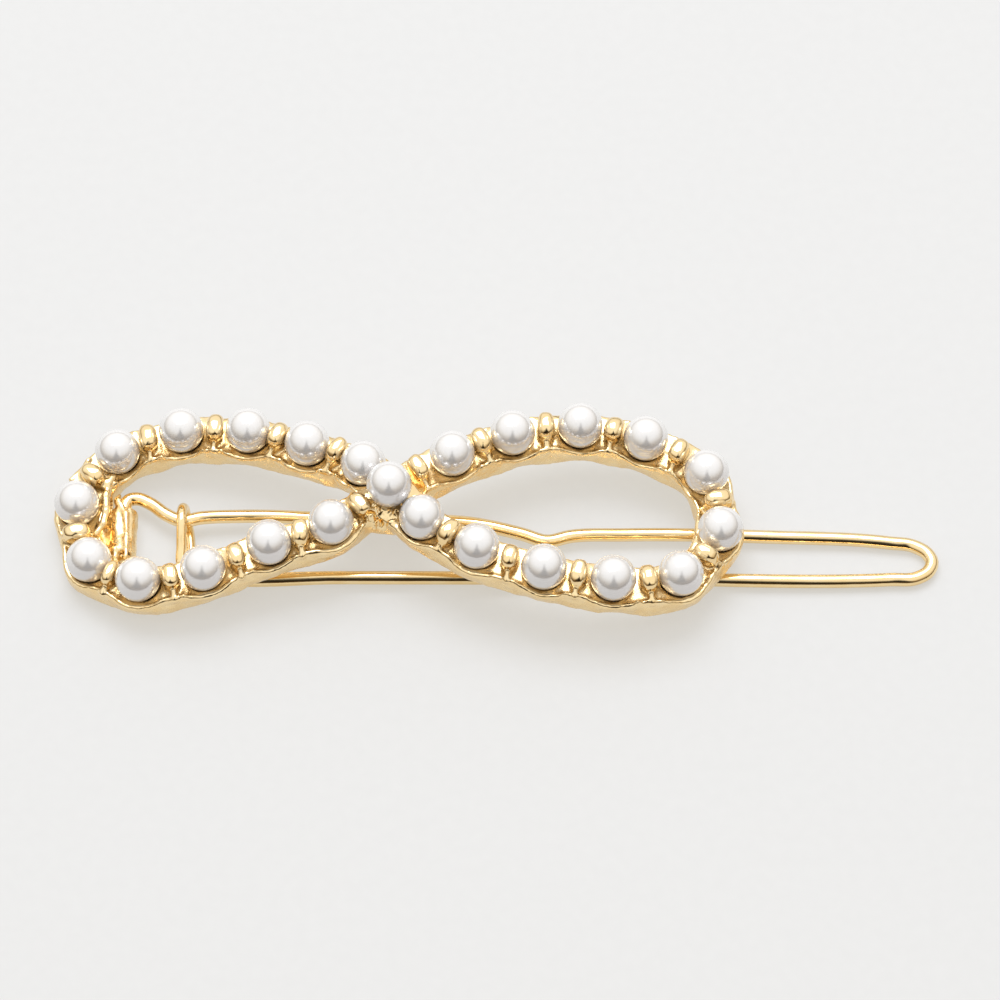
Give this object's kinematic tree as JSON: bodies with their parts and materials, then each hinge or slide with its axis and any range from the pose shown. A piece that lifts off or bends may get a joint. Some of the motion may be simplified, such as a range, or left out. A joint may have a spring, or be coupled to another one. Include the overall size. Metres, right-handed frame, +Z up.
{
  "type": "barrette",
  "caption": "Cast metal figure-eight barrette set with pearls between rounded prongs, with a hinged spring-wire loop beneath that grips the hair.",
  "frame": {"origin": "centre of the bounding box in plan, on the surface that the closed barrette stands on", "axes": "+X along the barrette towards the bend of the wire loop, +Y across it, +Z up through the pearls"},
  "size_m": [0.0786, 0.0207, 0.0106],
  "materials": {
    "gold_casting": "polished gold plating on a cast surface",
    "gold_wire": "bright gold-plated drawn wire",
    "pearl": "pearlescent, soft gloss"
  },
  "bodies": {
    "loop": {"clip_wire": "gold_wire"},
    "frame": {"frame_casting": "gold_casting", "pearl_01": "pearl", "pearl_02": "pearl", "pearl_03": "pearl", "pearl_04": "pearl", "pearl_05": "pearl", "pearl_06": "pearl", "pearl_07": "pearl", "pearl_08": "pearl", "pearl_09": "pearl", "pearl_10": "pearl", "pearl_11": "pearl", "pearl_12": "pearl", "pearl_13": "pearl", "pearl_14": "pearl", "pearl_15": "pearl", "pearl_16": "pearl", "pearl_17": "pearl", "pearl_18": "pearl", "pearl_19": "pearl", "pearl_20": "pearl", "pearl_21": "pearl", "pearl_22": "pearl", "pearl_23": "pearl"}
  },
  "joints": [
    {"name": "clip_hinge", "type": "hinge", "parent": "loop", "child": "frame", "pos_m": [-0.03269, 0, 0.0015], "axis": [0, -1, 0], "range_deg": [0, 30], "stiffness_Nm_per_rad": 0.05, "springref_deg": -11.46}
  ]
}
